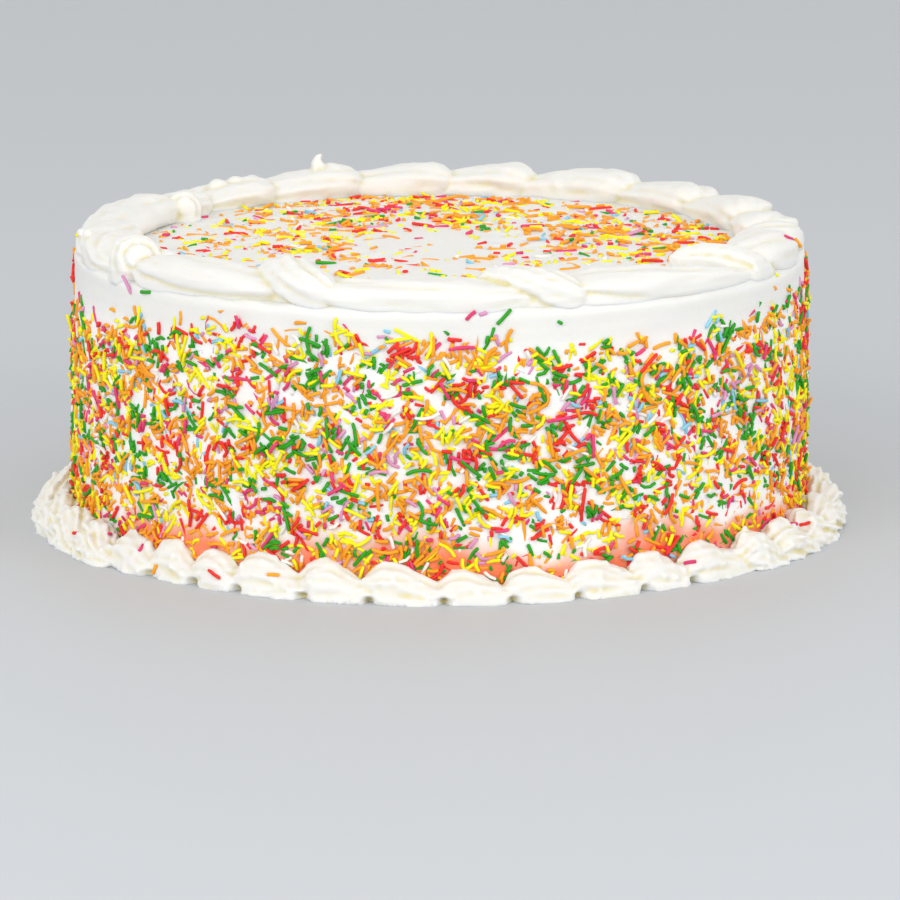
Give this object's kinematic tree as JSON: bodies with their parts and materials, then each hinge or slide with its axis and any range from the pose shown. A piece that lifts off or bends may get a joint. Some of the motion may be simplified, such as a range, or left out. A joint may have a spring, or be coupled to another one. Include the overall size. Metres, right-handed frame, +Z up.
{
  "type": "layer cake",
  "caption": "Round frosted layer cake, uncut, with a piped border of swirls round the top and a row of piped shells round the foot.",
  "frame": {"origin": "centre of the cake on the surface that it stands on", "axes": "+Z up; -Y to the front, the side that faces a guest; +X to the right seen from the front"},
  "size_m": [0.2522, 0.2519, 0.0977],
  "materials": {
    "side_icing": "smooth spread buttercream, soft satin white",
    "border_icing": "piped buttercream with soft ridges, satin white",
    "shell_icing": "piped buttercream with soft ridges, satin white"
  },
  "bodies": {
    "root": {"base_shell_01": "shell_icing", "base_shell_02": "shell_icing", "base_shell_03": "shell_icing", "base_shell_04": "shell_icing", "base_shell_05": "shell_icing", "base_shell_06": "shell_icing", "base_shell_07": "shell_icing", "base_shell_08": "shell_icing", "base_shell_09": "shell_icing", "base_shell_10": "shell_icing", "base_shell_11": "shell_icing", "base_shell_12": "shell_icing", "base_shell_13": "shell_icing", "base_shell_14": "shell_icing", "base_shell_15": "shell_icing", "base_shell_16": "shell_icing", "base_shell_17": "shell_icing", "base_shell_18": "shell_icing", "base_shell_19": "shell_icing", "base_shell_20": "shell_icing", "base_shell_21": "shell_icing", "base_shell_22": "shell_icing", "base_shell_23": "shell_icing", "base_shell_24": "shell_icing", "base_shell_25": "shell_icing", "base_shell_26": "shell_icing", "base_shell_27": "shell_icing", "base_shell_28": "shell_icing", "base_shell_29": "shell_icing", "base_shell_30": "shell_icing", "base_shell_31": "shell_icing", "base_shell_32": "shell_icing", "base_shell_33": "shell_icing", "base_shell_34": "shell_icing", "base_shell_35": "shell_icing", "base_shell_36": "shell_icing", "base_shell_37": "shell_icing", "base_shell_38": "shell_icing", "cake_body": "side_icing", "top_rosette_01": "border_icing", "top_sweep_02": "border_icing", "top_sweep_04": "border_icing", "top_sweep_06": "border_icing", "top_sweep_08": "border_icing", "top_sweep_10": "border_icing", "top_sweep_12": "border_icing", "top_sweep_14": "border_icing", "top_sweep_16": "border_icing", "top_sweep_18": "border_icing", "top_sweep_20": "border_icing", "top_twist_03": "border_icing", "top_twist_05": "border_icing", "top_twist_07": "border_icing", "top_twist_09": "border_icing", "top_twist_11": "border_icing", "top_twist_13": "border_icing", "top_twist_15": "border_icing", "top_twist_17": "border_icing", "top_twist_19": "border_icing", "top_twist_21": "border_icing"}
  },
  "joints": []
}
